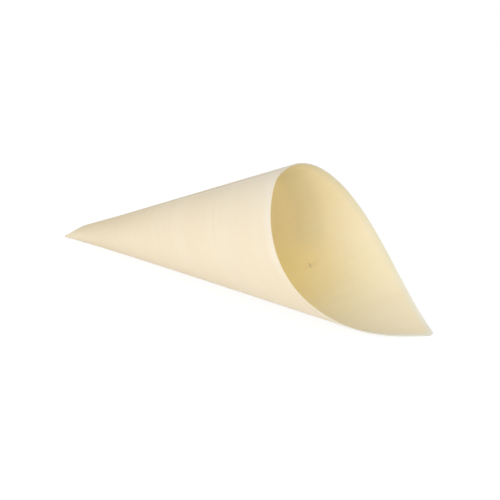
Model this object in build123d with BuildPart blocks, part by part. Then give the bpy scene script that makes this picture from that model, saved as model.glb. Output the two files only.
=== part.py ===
from build123d import *
from math import asin, cos, degrees, radians, sin
import os

os.makedirs("parts", exist_ok=True)

# A food cone made of one thin sheet of wood veneer, rolled from corner to corner and lapped on itself.
# It lies on a table along one straight line of its wall, with the pointed lip down and forward.
# Millimetres. +X runs from the tip to the lip, +Z is up, and the table is Z = 0.
# A reach is a distance from the cone's apex along the wall. A turn is an angle round the cone from
# the lip: positive over the near side, which faces -Y, and negative over the far side.

# The sheet, measured flat
veneer_thickness = 0.5
lip_reach = 185.0
lip_corner = 87.6
lip_blunting = 1.2

# The roll
sheet_angle_per_turn = 88.5
outer_edge_turn = 178.0
lap_width = 8.0
glue_film = 0.05

# The slanted open tip
tip_reach_low = 4.0
tip_reach_high = 16.5
tip_low_turn = 17.5

# The veneer has settled a little flat along the line that it lies on
rest_flat = 0.08

# The mouth is cut through sections this far apart, past each edge of the sheet by a small turn
section_step = 15.0
turn_past_edge = 4.0

half_angle = degrees(asin(sheet_angle_per_turn / 360))
mouth_reach = lip_reach * sin(radians(lip_corner / 2))
lap_turn = 360 * degrees(lap_width / mouth_reach) / sheet_angle_per_turn
inner_edge_turn = outer_edge_turn - lap_turn - 360

# The two sides are parts of two cones that touch along the bottom line. The near side's apex stands
# a little back and the far side's a little forward, so that at the top the flap lies on the layer below.
apex_shift = (veneer_thickness + glue_film) / (2 * sin(radians(2 * half_angle)))

# The origin is on the table, under the middle of the cone as it lies
rest_center = (tip_reach_low + lip_reach - lip_blunting) / 2
apex = Vector(-rest_center, 0, -rest_flat)
mouth_to_tip = Vector(1, 0, 0).rotate(Axis.Y, 180 - half_angle)
cone_axis = Axis(apex, mouth_to_tip)


def section_plane(turn):
    """Plane of one straight line of the wall: x from the apex to the mouth, y out of the wall."""
    along_wall = Vector(1, 0, 0).rotate(cone_axis, turn)
    round_cone = Vector(0, 1, 0).rotate(cone_axis, turn)
    return Plane(origin=apex, x_dir=along_wall, z_dir=round_cone)


def mouth_edge(turn):
    """Reach of the sheet's straight edge, which runs off from the lip at a corner."""
    flat_angle = abs(turn) * sheet_angle_per_turn / 360
    return mouth_reach / sin(radians(lip_corner / 2 + flat_angle))


def turns_from_lip(last):
    """Evenly spaced turns from the lip to the last one, about one section step apart."""
    count = max(4, round(abs(last) / section_step))
    return [last * index / count for index in range(count + 1)]


def rolled_side(edge_turn):
    """One side of the roll, from the bottom line round to an edge of the sheet, with its mouth cut."""
    direction = 1 if edge_turn > 0 else -1
    side_apex = apex - Vector(direction * apex_shift, 0, 0)
    bottom_strip = Plane(origin=side_apex, x_dir=(1, 0, 0), z_dir=(0, -1, 0))
    with BuildPart() as side:
        with BuildSketch(bottom_strip):
            with Locations((0.8 * tip_reach_low, 0)):
                Rectangle(lip_reach, veneer_thickness, align=(Align.MIN, Align.MIN))
        revolve(axis=Axis(side_apex, mouth_to_tip * direction), revolution_arc=abs(edge_turn))
        for turn in turns_from_lip(edge_turn + direction * turn_past_edge):
            with BuildSketch(section_plane(turn)):
                with Locations((mouth_edge(turn), 0)):
                    Rectangle(lip_reach, 6 * veneer_thickness, align=(Align.MIN, Align.CENTER))
        loft(mode=Mode.SUBTRACT)
    return side.part


near_side = rolled_side(outer_edge_turn)
far_side = rolled_side(inner_edge_turn)

with BuildPart() as rolled_veneer:
    add(near_side)
    add(far_side)
    # The tip ends on one slanted plane, low in front and high behind
    low_plane = section_plane(tip_low_turn)
    low_point = low_plane.from_local_coords((tip_reach_low, 0))
    high_point = section_plane(tip_low_turn + 180).from_local_coords((tip_reach_high, 0))
    slant = high_point - low_point
    split(bisect_by=Plane(origin=low_point, x_dir=slant, z_dir=low_plane.z_dir.cross(slant)), keep=Keep.TOP)
    # The lip's sharp corner is blunted by a short straight cut
    split(bisect_by=Plane.YZ.offset(apex.X + lip_reach - lip_blunting), keep=Keep.BOTTOM)
    # The line that the cone lies on is flattened down to the table
    split(bisect_by=Plane.XY, keep=Keep.TOP)

rolled_veneer.part.label = "rolled_veneer"
export_step(rolled_veneer.part, "parts/rolled_veneer.step")
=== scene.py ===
from collections import namedtuple
from math import asin, cos, degrees, exp, log, pi, radians, sin

import bpy
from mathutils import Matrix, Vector


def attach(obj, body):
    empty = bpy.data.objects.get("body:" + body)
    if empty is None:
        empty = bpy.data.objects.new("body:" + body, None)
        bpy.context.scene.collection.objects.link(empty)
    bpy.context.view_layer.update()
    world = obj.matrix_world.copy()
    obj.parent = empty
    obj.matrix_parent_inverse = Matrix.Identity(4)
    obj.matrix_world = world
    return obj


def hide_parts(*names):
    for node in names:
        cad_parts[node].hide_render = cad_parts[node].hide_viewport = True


# A food cone rolled from one sheet of pale wood veneer, lying on a white table.
# Metres. +X runs from the tip to the lip, +Z is up, and the table is Z = 0.
# A reach is a distance from the cone's apex along the wall. A turn is an angle round the cone from
# the lip, in degrees: positive over the near side, which faces -Y, and negative over the far side.

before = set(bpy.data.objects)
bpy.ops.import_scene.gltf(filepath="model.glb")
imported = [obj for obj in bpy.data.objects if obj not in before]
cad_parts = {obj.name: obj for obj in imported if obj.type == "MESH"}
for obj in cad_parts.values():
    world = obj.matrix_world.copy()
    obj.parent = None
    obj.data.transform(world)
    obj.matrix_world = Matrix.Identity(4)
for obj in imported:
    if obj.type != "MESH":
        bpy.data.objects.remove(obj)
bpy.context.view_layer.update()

# The sheet and the roll, as in the solid
VENEER_THICKNESS = 0.0005
LIP_REACH = 0.185
LIP_CORNER = 87.6
SHEET_ANGLE_PER_TURN = 88.5
OUTER_EDGE_TURN = 178.0
LAP_WIDTH = 0.008
GLUE_FILM = 0.00005
TIP_REACH_LOW = 0.004
TIP_REACH_HIGH = 0.0165
TIP_LOW_TURN = 17.5
LIP_BLUNTING = 0.0012
REST_FLAT = 0.00008

# How this roll strays from a true cone: the tip is pressed wider, the near half of the mouth's edge
# waves in and out along the wall, and the lip's corner is rounded and spreads to the near side. The
# tip's spread fades with the reach, and the lip's with the turn.
TIP_SPREAD = 0.0022
TIP_SPREAD_FADE = 0.024
TIP_SPREAD_TURN = 50.0
RIM_WAVE = 0.0009
RIM_WAVE_START = 45.0
LIP_SPREAD = 0.0052
LIP_SPREAD_FADE = 7.0
LIP_ROUNDING = 0.0006
# Farther than this from the lip's cut, the rounding is too small to count
LIP_ROUNDING_RANGE = 20 * LIP_ROUNDING

# The mesh: lines along each side of the wall, crowded near the lip, and the points on each line
LINES_PER_SIDE = 135
LINE_CROWDING = 1.5
POINTS_ALONG = 110

# The cut edges are rounded where the faces meet more sharply than this angle
EDGE_ROUNDING = 0.00009
EDGE_ROUNDING_STEPS = 2
SHARP_EDGE_ANGLE = 50.0

# The grain runs straight across the flat sheet, at this angle from the line to the lip
GRAIN_ANGLE = -47.0

HALF_ANGLE = asin(SHEET_ANGLE_PER_TURN / 360)
MOUTH_REACH = LIP_REACH * sin(radians(LIP_CORNER / 2))
INNER_EDGE_TURN = OUTER_EDGE_TURN - 360 - 360 * degrees(LAP_WIDTH / MOUTH_REACH) / SHEET_ANGLE_PER_TURN

APEX = Vector((-(TIP_REACH_LOW + LIP_REACH - LIP_BLUNTING) / 2, 0, -REST_FLAT))
AXIS = Vector((cos(HALF_ANGLE), 0, sin(HALF_ANGLE)))
DOWN = Vector((sin(HALF_ANGLE), 0, -cos(HALF_ANGLE)))
NEAR = DOWN.cross(AXIS)


def mouth_edge(turn):
    """Reach of the mouth's edge: straight on the flat sheet, with a slight wave and a spread lip."""
    flat_angle = abs(turn) * SHEET_ANGLE_PER_TURN / 360
    straight = MOUTH_REACH / sin(radians(LIP_CORNER / 2 + flat_angle))
    if turn < 0:
        return straight
    wave = 0
    if turn > RIM_WAVE_START:
        wave = sin(2 * pi * (turn - RIM_WAVE_START) / (OUTER_EDGE_TURN - RIM_WAVE_START))
    return straight - RIM_WAVE * wave + LIP_SPREAD * exp(-turn / LIP_SPREAD_FADE)


def lip_cut(turn):
    """Reach of the upright plane that blunts the lip, which stands a little past the solid's end."""
    along_x = AXIS.x * cos(HALF_ANGLE) + DOWN.x * cos(radians(turn)) * sin(HALF_ANGLE)
    return LIP_REACH / along_x


def wall_end(turn):
    """Reach where the wall ends at the mouth, rounded between the mouth's edge and the lip's cut."""
    edge = mouth_edge(turn)
    cut = lip_cut(turn)
    if cut - edge > LIP_ROUNDING_RANGE:
        return edge
    return edge - LIP_ROUNDING * log(1 + exp((edge - cut) / LIP_ROUNDING))


def tip_edge(turn):
    """Reach of the slanted plane that the tip ends on."""
    total = TIP_REACH_HIGH + TIP_REACH_LOW
    difference = TIP_REACH_HIGH - TIP_REACH_LOW
    return 2 * TIP_REACH_HIGH * TIP_REACH_LOW / (total + difference * cos(radians(turn - TIP_LOW_TURN)))


def wound_out(turn):
    """How far the roll has wound out from the bottom line, so that the flap lies on the layer below."""
    side = 1 if turn > 0 else -1
    return side * (VENEER_THICKNESS + GLUE_FILM) * (1 - cos(radians(turn))) / 4


def wall_point(reach, turn, depth):
    """Point in the wall at a depth under its outer face, and never under the table."""
    outward = DOWN * cos(radians(turn)) + NEAR * sin(radians(turn))
    along_wall = AXIS * cos(HALF_ANGLE) + outward * sin(HALF_ANGLE)
    out_of_wall = outward * cos(HALF_ANGLE) - AXIS * sin(HALF_ANGLE)
    point = APEX + along_wall * reach + out_of_wall * (wound_out(turn) - depth)
    facing = (1 + cos(radians(turn - TIP_SPREAD_TURN))) / 2
    point += NEAR * TIP_SPREAD * facing**2 * exp(-reach / TIP_SPREAD_FADE)
    point.z = max(point.z, 0)
    return point


def flat_place(reach, turn):
    """Place on the flat sheet: x along the grain and y across it."""
    angle = radians(turn * SHEET_ANGLE_PER_TURN / 360 - GRAIN_ANGLE)
    return reach * cos(angle), reach * sin(angle)


def from_edges(reach, turn):
    """Distance to the mouth, distance from the flap's outer edge (below 0 past it), and the turn."""
    turns_inside = OUTER_EDGE_TURN - turn if turn > 0 else OUTER_EDGE_TURN - 360 - turn
    flat_angle = radians(turns_inside * SHEET_ANGLE_PER_TURN / 360)
    return wall_end(turn) - reach, flat_angle * reach, turn


def wall_turns():
    """Turns of the lines along the wall, from the inner edge of the sheet to the outer one."""
    shares = [(index / LINES_PER_SIDE) ** LINE_CROWDING for index in range(LINES_PER_SIDE + 1)]
    far_side = [INNER_EDGE_TURN * share for share in reversed(shares)]
    near_side = [OUTER_EDGE_TURN * share for share in shares[1:]]
    return far_side + near_side


def wall_reaches(turn):
    """Reaches of the points on one line, from the tip to the mouth."""
    start = tip_edge(turn)
    end = wall_end(turn)
    return [start + (end - start) * index / (POINTS_ALONG - 1) for index in range(POINTS_ALONG)]


OUTSIDE, INSIDE, CUT_EDGE = range(3)


def rolled_sheet():
    """The rolled sheet as a closed mesh. Each line is a loop: out along the outer face and back inside."""
    turns = wall_turns()
    points = []
    places = []
    distances = []
    for turn in turns:
        reaches = wall_reaches(turn)
        for depth, line in ((0, reaches), (VENEER_THICKNESS, reaches[::-1])):
            for reach in line:
                points.append(wall_point(reach, turn, depth))
                places.append((*flat_place(reach, turn), depth))
                distances.append(from_edges(reach, turn))
    # Faces join each loop to the next one, and two strips close the straight edges of the sheet
    faces = []
    finishes = []
    loop = 2 * POINTS_ALONG
    for row in range(len(turns) - 1):
        for index in range(loop):
            following = (index + 1) % loop
            faces.append((
                row * loop + index,
                row * loop + following,
                (row + 1) * loop + following,
                (row + 1) * loop + index,
            ))
            if index in (POINTS_ALONG - 1, loop - 1):
                finishes.append(CUT_EDGE)
            else:
                finishes.append(OUTSIDE if index < POINTS_ALONG else INSIDE)
    last_row = (len(turns) - 1) * loop
    for index in range(POINTS_ALONG - 1):
        opposite = loop - 1 - index
        faces.append((index, opposite, opposite - 1, index + 1))
        faces.append((last_row + index, last_row + index + 1, last_row + opposite - 1, last_row + opposite))
        finishes += [CUT_EDGE, CUT_EDGE]
    return points, faces, finishes, {"flat_place": places, "from_edges": distances}


def make_cone(materials):
    """The veneer roll, with its finishes and each point's place on the sheet stored in the mesh."""
    points, faces, finishes, measures = rolled_sheet()
    mesh = bpy.data.meshes.new("veneer_roll")
    mesh.from_pydata(points, [], faces)
    for material in materials:
        mesh.materials.append(material)
    mesh.polygons.foreach_set("material_index", finishes)
    mesh.polygons.foreach_set("use_smooth", [True] * len(faces))
    for name, values in measures.items():
        stored = mesh.attributes.new(name, "FLOAT_VECTOR", "POINT")
        stored.data.foreach_set("vector", [number for value in values for number in value])
    mesh.update()
    cone = bpy.data.objects.new("veneer_roll", mesh)
    bpy.context.scene.collection.objects.link(cone)
    rounding = cone.modifiers.new("soft_edges", "BEVEL")
    rounding.width = EDGE_ROUNDING
    rounding.segments = EDGE_ROUNDING_STEPS
    rounding.limit_method = "ANGLE"
    rounding.angle_limit = radians(SHARP_EDGE_ANGLE)
    rounding.harden_normals = True
    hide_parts("rolled_veneer")
    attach(cone, "root")


class Finish:
    """A material made of nodes, with short ways to add and join them."""

    def __init__(self, name):
        self.material = bpy.data.materials.new(name)
        self.material.use_nodes = True
        self.tree = self.material.node_tree
        self.tree.nodes.clear()

    def add(self, kind, settings=None, **sockets):
        """A new node. A socket's name has _ for each space, and it takes a value or a node's output."""
        node = self.tree.nodes.new(kind)
        for key, value in (settings or {}).items():
            setattr(node, key, value)
        for key, value in sockets.items():
            self.feed(node.inputs[key.replace("_", " ")], value)
        return node

    def feed(self, socket, value):
        if isinstance(value, bpy.types.NodeSocket):
            self.tree.links.new(value, socket)
        else:
            socket.default_value = value

    def surface(self, shader):
        """The finished material, with its surface taken from a shader node."""
        self.add("ShaderNodeOutputMaterial", Surface=shader.outputs[0])
        return self.material

    def math(self, operation, *values):
        node = self.add("ShaderNodeMath", {"operation": operation})
        for socket, value in zip(node.inputs, values):
            self.feed(socket, value)
        return node.outputs[0]

    def times(self, first, second):
        return self.math("MULTIPLY", first, second)

    def vector_math(self, operation, *values):
        node = self.add("ShaderNodeVectorMath", {"operation": operation})
        for socket, value in zip(node.inputs, values):
            self.feed(socket, value)
        return node.outputs

    def mix(self, amount, first, second, blend="MIX"):
        node = self.add("ShaderNodeMix", {"data_type": "RGBA", "blend_type": blend})
        self.feed(node.inputs["Factor"], amount)
        self.feed(node.inputs[6], first)
        self.feed(node.inputs[7], second)
        return node.outputs[2]

    def tint(self, amount, color, other):
        """The colour, multiplied by another one as far as the amount says, from 0 to 1."""
        return self.mix(amount, color, other, "MULTIPLY")

    def ramp(self, value, start, full):
        """0 at the start and before it, and 1 where it is full and beyond. The ends are soft."""
        node = self.add("ShaderNodeMapRange", {"interpolation_type": "SMOOTHSTEP"})
        self.feed(node.inputs["Value"], value)
        self.feed(node.inputs["From Min"], start)
        self.feed(node.inputs["From Max"], full)
        return node.outputs["Result"]

    def band(self, value, start, end, soft):
        """1 between two values and 0 outside them, with soft ends."""
        return self.times(
            self.ramp(value, start - soft / 2, start + soft / 2),
            self.ramp(value, end + soft / 2, end - soft / 2),
        )

    def measure(self, name):
        """A measure stored in the mesh, as a vector."""
        return self.add("ShaderNodeAttribute", {"attribute_name": name}).outputs["Vector"]

    def grain(self, place, waves, detail, roughness=0.5, distortion=0):
        """Noise over the sheet, in waves per metre along the grain, across it and through the sheet."""
        node = self.add(
            "ShaderNodeTexNoise", Vector=self.vector_math("MULTIPLY", place, waves)[0], Scale=1,
            Detail=detail, Roughness=roughness, Distortion=distortion,
        )
        return node.outputs["Fac"]

    def spot(self, place, center, length, width):
        """1 in the middle of a spot on the sheet, and 0 outside it."""
        shifted = self.vector_math("SUBTRACT", place, (*center, 0))[0]
        sized = self.vector_math("MULTIPLY", shifted, (2 / length, 2 / width, 0))[0]
        distance = self.vector_math("LENGTH", sized)["Value"]
        return self.math("SUBTRACT", 1, self.ramp(distance, 0, 1))


# Growth bands, streaks, fibres, clouds and pores, in waves per metre along the grain, across it and
# through the sheet
BAND_WAVES = (4, 55, 1)
STREAK_WAVES = (14, 420, 1)
FIBRE_WAVES = (90, 3200, 900)
CLOUD_WAVES = (35, 60, 1)
PORE_WAVES = (260, 2600, 1)

# How much bands and streaks count in the tone, and the tones that are fully pale and fully deep
BAND_SHARE = 0.62
STREAK_SHARE = 0.38
PALE_TO_DEEP = (0.25, 0.78)

# Fibres and clouds shade the colour by a gain and a base, and a pore takes some of it away
FIBRE_SHADE = (0.055, 0.972)
CLOUD_SHADE = (0.05, 0.975)
PORE_SHADE = 0.05
PORE_LEVELS = (0.70, 0.80)

# The relief: shares of fibres, streaks and pores, its depth in metres, and how the gloss varies
FIBRE_RELIEF = 0.5
STREAK_RELIEF = 0.5
PORE_RELIEF = 0.4
RELIEF_STRENGTH = 0.25
RELIEF_DEPTH = 0.00005
STREAK_ROUGHNESS = 0.12
SPECULAR_LEVEL = 0.28

# Pin knots and small stains: reach, turn, length along the grain, width across it, strength
PIN_KNOTS = (
    (0.1195, -36.6, 0.0014, 0.0046, 0.34),
    (0.1205, -37.5, 0.0110, 0.0045, 0.10),
    (0.1338, -13.3, 0.0016, 0.0010, 0.18),
    (0.0580, 127.9, 0.0060, 0.0016, 0.05),
    (0.0985, 134.0, 0.0240, 0.0020, 0.045),
)
KNOT_COLOR = (0.30, 0.17, 0.07, 1)

# What the tints, painted shade and painted highlights go by: the reach, the distance to the mouth, the
# distance from the flap's outer edge (below 0 past it), and the turn
Position = namedtuple("Position", "reach to_mouth to_flap_edge turn")

# The outside: a duller tip, painted shade on the flap near the tip, where the top of the roll is darker
# in the light, a painted shadow on the layer below the flap's edge, which is golden far from the mouth,
# painted highlights along the flap's edge and by the near rim, and a corner paler towards the mouth.
# Each pair says where a change starts and where it is full: reaches and distances in metres, and turns
# in degrees to either side. A band has a start, an end and a softness.
TIP_TINT = (0.95, 0.945, 0.93, 1)
TIP_REACHES = (0.06, 0.015)
FLAP_PAINTED_SHADE = (0.94, 0.925, 0.88, 1)
FLAP_REACHES = (0.075, 0.040)
FLAP_TURNS = (95, 155)
SEAM_SHADE = (0.86, 0.82, 0.68, 1)
SEAM_SHADE_AT_MOUTH = (0.96, 0.95, 0.94, 1)
SEAM_SHADE_REACHES = (0.075, 0.110)
SEAM_SHADE_SIDE = (-0.009, 0)
SEAM_SHADE_END = (0.0003, 0)
PALE_NEAR_EDGES = (1.0, 0.92, 0.77, 1)
FLAP_EDGE_BAND = (0.0001, 0.0012, 0.0002)
FLAP_EDGE_REACHES = (0.05, 0.11)
FLAP_EDGE_HIGHLIGHT = 0.9
CORNER_DISTANCES = (0.035, 0)
CORNER_TURNS = (110, 165)
CORNER_PALENESS = 0.40
RIM_DISTANCES = (0.008, 0)
RIM_TURNS = (70, 110)
RIM_HIGHLIGHT = 0.5


def outside_tints_and_painted_light(finish, color, at):
    """The outside's colour, changed near the tip, the seam and the mouth, with painted shade and
    highlights.
    """
    turn = finish.math("ABSOLUTE", at.turn)
    color = finish.tint(finish.ramp(at.reach, *TIP_REACHES), color, TIP_TINT)
    # Painted shade: the flap near the tip, at the top of the roll, is darker as the light falls there
    shaded_flap = finish.times(finish.ramp(at.reach, *FLAP_REACHES), finish.ramp(turn, *FLAP_TURNS))
    color = finish.tint(shaded_flap, color, FLAP_PAINTED_SHADE)

    # Painted shadow: the layer below is darker beside the flap's edge, golden far from the mouth
    seam_shadow = finish.mix(finish.ramp(at.reach, *SEAM_SHADE_REACHES), SEAM_SHADE, SEAM_SHADE_AT_MOUTH)
    shadow_past_flap = finish.times(
        finish.ramp(at.to_flap_edge, *SEAM_SHADE_SIDE),
        finish.ramp(at.to_flap_edge, *SEAM_SHADE_END),
    )
    color = finish.tint(shadow_past_flap, color, seam_shadow)

    # Painted highlight: a pale line along the flap's edge, where the edge catches the light
    flap_edge = finish.times(
        finish.band(at.to_flap_edge, *FLAP_EDGE_BAND),
        finish.ramp(at.reach, *FLAP_EDGE_REACHES),
    )
    color = finish.mix(finish.times(flap_edge, FLAP_EDGE_HIGHLIGHT), color, PALE_NEAR_EDGES)
    # Paler towards the mouth at the top of the flap
    corner = finish.times(finish.ramp(at.to_mouth, *CORNER_DISTANCES), finish.ramp(turn, *CORNER_TURNS))
    color = finish.mix(finish.times(corner, CORNER_PALENESS), color, PALE_NEAR_EDGES)
    # Painted highlight: a pale band on the outside next to the near rim of the mouth
    rim = finish.times(finish.ramp(at.to_mouth, *RIM_DISTANCES), finish.ramp(turn, *RIM_TURNS))
    return finish.mix(finish.times(rim, RIM_HIGHLIGHT), color, PALE_NEAR_EDGES)


# The inside: golden in the hollow, most of all along the bottom, which is painted shade and bounced light
# deep in the roll, with a duller band up the sides, greyer near the mouth's edge, and paler at the edge
# of the lip. The numbers go as for the outside.
HOLLOW_PAINTED_SHADE = (1.06, 1.01, 0.73, 1)
HOLLOW_REACHES = (0.145, 0.110)
HOLLOW_AMOUNT = 0.55
BOTTOM_REACHES = (0.165, 0.115)
BOTTOM_TURNS = (75, 30)
BOTTOM_AMOUNT = 0.45
DULL_TINT = (0.92, 0.93, 0.95, 1)
DULL_BAND = (0.110, 0.124, 0.008)
DULL_TURNS = (40, 70)
EDGE_GREY = (0.89, 0.94, 1.0, 1)
EDGE_DISTANCES = (0.0045, 0.0004)
LIP_PALE = (0.92, 0.91, 0.82, 1)
LIP_DISTANCES = (0.0045, 0)
LIP_REACHES = (0.150, 0.178)
LIP_WEAR = 0.65


def inside_tints_and_painted_shade(finish, color, at):
    """The inside's colour, changed in the hollow, with painted shade and bounced light, and near the mouth.
    """
    turn = finish.math("ABSOLUTE", at.turn)
    # Painted shade and bounced light: deeper gold towards the narrow end and along the bottom
    bottom = finish.times(finish.ramp(at.reach, *BOTTOM_REACHES), finish.ramp(turn, *BOTTOM_TURNS))
    hollow = finish.times(finish.ramp(at.reach, *HOLLOW_REACHES), HOLLOW_AMOUNT)
    hollow = finish.math("MULTIPLY_ADD", bottom, BOTTOM_AMOUNT, hollow)
    color = finish.tint(hollow, color, HOLLOW_PAINTED_SHADE)
    dull = finish.times(finish.band(at.reach, *DULL_BAND), finish.ramp(turn, *DULL_TURNS))
    color = finish.tint(dull, color, DULL_TINT)
    color = finish.tint(finish.ramp(at.to_mouth, *EDGE_DISTANCES), color, EDGE_GREY)
    lip = finish.times(finish.ramp(at.to_mouth, *LIP_DISTANCES), finish.ramp(at.reach, *LIP_REACHES))
    return finish.mix(finish.times(lip, LIP_WEAR), color, LIP_PALE)


# The cut edges are greyer round the lip and all along the far side, where the turn is below 0
CUT_GREY = (0.88, 0.955, 1.15, 1)
CUT_GREY_TURNS = (80, 40)


def cut_edge_tints(finish, color, at):
    """The cut edges' colour, changed round the lip and on the far side."""
    return finish.tint(finish.ramp(at.turn, *CUT_GREY_TURNS), color, CUT_GREY)


def veneer(name, pale, deep, roughness, tints):
    """Pale wood veneer: growth bands, fibres, fine pores, pin knots, tints with painted shade and
    highlights, and a satin gloss.
    """
    finish = Finish(name)
    place = finish.measure("flat_place")
    bands = finish.grain(place, BAND_WAVES, detail=4, roughness=0.55, distortion=0.3)
    streaks = finish.grain(place, STREAK_WAVES, detail=3, roughness=0.6)
    fibres = finish.grain(place, FIBRE_WAVES, detail=2, roughness=0.6)
    clouds = finish.grain(place, CLOUD_WAVES, detail=3)
    pores = finish.ramp(finish.grain(place, PORE_WAVES, detail=1), *PORE_LEVELS)

    tone = finish.math("MULTIPLY_ADD", bands, BAND_SHARE, finish.times(streaks, STREAK_SHARE))
    color = finish.mix(finish.ramp(tone, *PALE_TO_DEEP), pale, deep)
    shade = finish.math("MULTIPLY_ADD", fibres, *FIBRE_SHADE)
    shade = finish.times(shade, finish.math("MULTIPLY_ADD", clouds, *CLOUD_SHADE))
    shade = finish.math("SUBTRACT", shade, finish.times(pores, PORE_SHADE))
    grey = finish.add("ShaderNodeCombineColor", Red=shade, Green=shade, Blue=shade).outputs[0]
    color = finish.tint(1, color, grey)
    for reach, turn, length, width, strength in PIN_KNOTS:
        knot = finish.spot(place, flat_place(reach, turn), length, width)
        color = finish.mix(finish.times(knot, strength), color, KNOT_COLOR)

    distances = finish.add("ShaderNodeSeparateXYZ", Vector=finish.measure("from_edges"))
    at = Position(finish.vector_math("LENGTH", place)["Value"], *distances.outputs)
    color = tints(finish, color, at)

    relief = finish.math("MULTIPLY_ADD", fibres, FIBRE_RELIEF, finish.times(streaks, STREAK_RELIEF))
    relief = finish.math("SUBTRACT", relief, finish.times(pores, PORE_RELIEF))
    bump = finish.add("ShaderNodeBump", Strength=RELIEF_STRENGTH, Distance=RELIEF_DEPTH, Height=relief)
    shader = finish.add(
        "ShaderNodeBsdfPrincipled", Base_Color=color, Normal=bump.outputs[0],
        Roughness=finish.math("MULTIPLY_ADD", streaks, STREAK_ROUGHNESS, roughness),
        Specular_IOR_Level=SPECULAR_LEVEL,
    )
    return finish.surface(shader)


# Colours of the veneer, paler on the outside than in the golden hollow
# The inside's deeper gold is painted bounced light and light through the thin wall
OUTSIDE_PALE = (0.95, 0.84, 0.64, 1)
OUTSIDE_DEEP = (0.94, 0.80, 0.58, 1)
INSIDE_PALE = (0.90, 0.81, 0.59, 1)
INSIDE_DEEP = (0.88, 0.76, 0.515, 1)
CUT_PALE = (0.80, 0.71, 0.51, 1)
CUT_DEEP = (0.745, 0.635, 0.42, 1)

make_cone((
    veneer("veneer_outside", OUTSIDE_PALE, OUTSIDE_DEEP, roughness=0.42, tints=outside_tints_and_painted_light),
    veneer("veneer_inside", INSIDE_PALE, INSIDE_DEEP, roughness=0.48, tints=inside_tints_and_painted_shade),
    veneer("veneer_cut_edge", CUT_PALE, CUT_DEEP, roughness=0.6, tints=cut_edge_tints),
))

# The table is much larger than the picture. Light bounces off it as off a plain white table. The
# camera and reflections see a darker one that glows, which adds up to white and keeps a faint shadow.
TABLE_SIZE = 6
TABLE_COLOR = (0.82, 0.82, 0.82, 1)
TABLE_COLOR_SEEN = (0.22, 0.22, 0.22, 1)
TABLE_GLOW_SEEN = 0.86


def white_table():
    """The table's material: plain white for bounced light, and lifted where the camera sees it."""
    finish = Finish("white_table")
    rays = finish.add("ShaderNodeLightPath")
    seen = finish.math("MAXIMUM", rays.outputs["Is Camera Ray"], rays.outputs["Is Glossy Ray"])
    plain = finish.add("ShaderNodeBsdfDiffuse", Color=TABLE_COLOR)
    shaded = finish.add("ShaderNodeBsdfDiffuse", Color=TABLE_COLOR_SEEN)
    glow = finish.add("ShaderNodeEmission", Strength=TABLE_GLOW_SEEN)
    lifted = finish.add("ShaderNodeAddShader")
    chosen = finish.add("ShaderNodeMixShader")
    for socket, value in zip(lifted.inputs, (shaded.outputs[0], glow.outputs[0])):
        finish.feed(socket, value)
    for socket, value in zip(chosen.inputs, (seen, plain.outputs[0], lifted.outputs[0])):
        finish.feed(socket, value)
    return finish.surface(chosen)


bpy.ops.mesh.primitive_plane_add(size=TABLE_SIZE)
table = bpy.context.object
table.name = "table"
table.data.materials.append(white_table())

# The camera looks down on the near side. The target is measured from the apex across the picture and
# up it, and the picture's scale is the one at the target.
CAMERA_AZIMUTH = radians(27.072)
CAMERA_ELEVATION = radians(30.974)
CAMERA_DISTANCE = 1.13099
TARGET_RIGHT = 0.086545
TARGET_UP = -0.007927
PIXELS_PER_METRE = 2196.7
PICTURE_WIDTH = 500
FILM_WIDTH = 36
NEAREST_SEEN = 0.01
FARTHEST_SEEN = 20

right = Vector((cos(CAMERA_AZIMUTH), sin(CAMERA_AZIMUTH), 0))
level_back = Vector((sin(CAMERA_AZIMUTH), -cos(CAMERA_AZIMUTH), 0))
back = level_back * cos(CAMERA_ELEVATION) + Vector((0, 0, sin(CAMERA_ELEVATION)))
up = back.cross(right)
target = APEX + right * TARGET_RIGHT + up * TARGET_UP

camera = bpy.data.objects.new("camera", bpy.data.cameras.new("camera"))
bpy.context.scene.collection.objects.link(camera)
camera.location = target + back * CAMERA_DISTANCE
camera.rotation_euler = (pi / 2 - CAMERA_ELEVATION, 0, CAMERA_AZIMUTH)
camera.data.sensor_width = FILM_WIDTH
camera.data.lens = FILM_WIDTH * PIXELS_PER_METRE * CAMERA_DISTANCE / PICTURE_WIDTH
camera.data.clip_start = NEAREST_SEEN
camera.data.clip_end = FARTHEST_SEEN
bpy.context.scene.camera = camera

# A bright white room, a broad lamp on the camera's left, and one that looks into the mouth. Each lamp's
# place is measured from the camera's target.
ROOM_COLOR = (1, 1, 1, 1)
ROOM_LIGHT = 0.61
FRONT_LAMP_PLACE = level_back - right * 0.5 + Vector((0, 0, 0.5))
MOUTH_LAMP_PLACE = Vector((0.85, -0.3, 0.42))


def soft_box(name, place, size, power):
    """A broad square lamp that points at the cone. Its power is in watts."""
    lamp = bpy.data.objects.new(name, bpy.data.lights.new(name, "AREA"))
    bpy.context.scene.collection.objects.link(lamp)
    lamp.data.shape = "SQUARE"
    lamp.data.size = size
    lamp.data.energy = power
    lamp.location = target + place
    lamp.rotation_euler = (target - lamp.location).to_track_quat("-Z", "Y").to_euler()


soft_box("front_lamp", FRONT_LAMP_PLACE, size=0.8, power=4.9)
soft_box("mouth_lamp", MOUTH_LAMP_PLACE, size=0.6, power=3.0)

world = bpy.data.worlds.new("white_room")
bpy.context.scene.world = world
world.use_nodes = True
background = world.node_tree.nodes["Background"]
background.inputs["Color"].default_value = ROOM_COLOR
background.inputs["Strength"].default_value = ROOM_LIGHT
bpy.context.scene.view_settings.view_transform = "Standard"
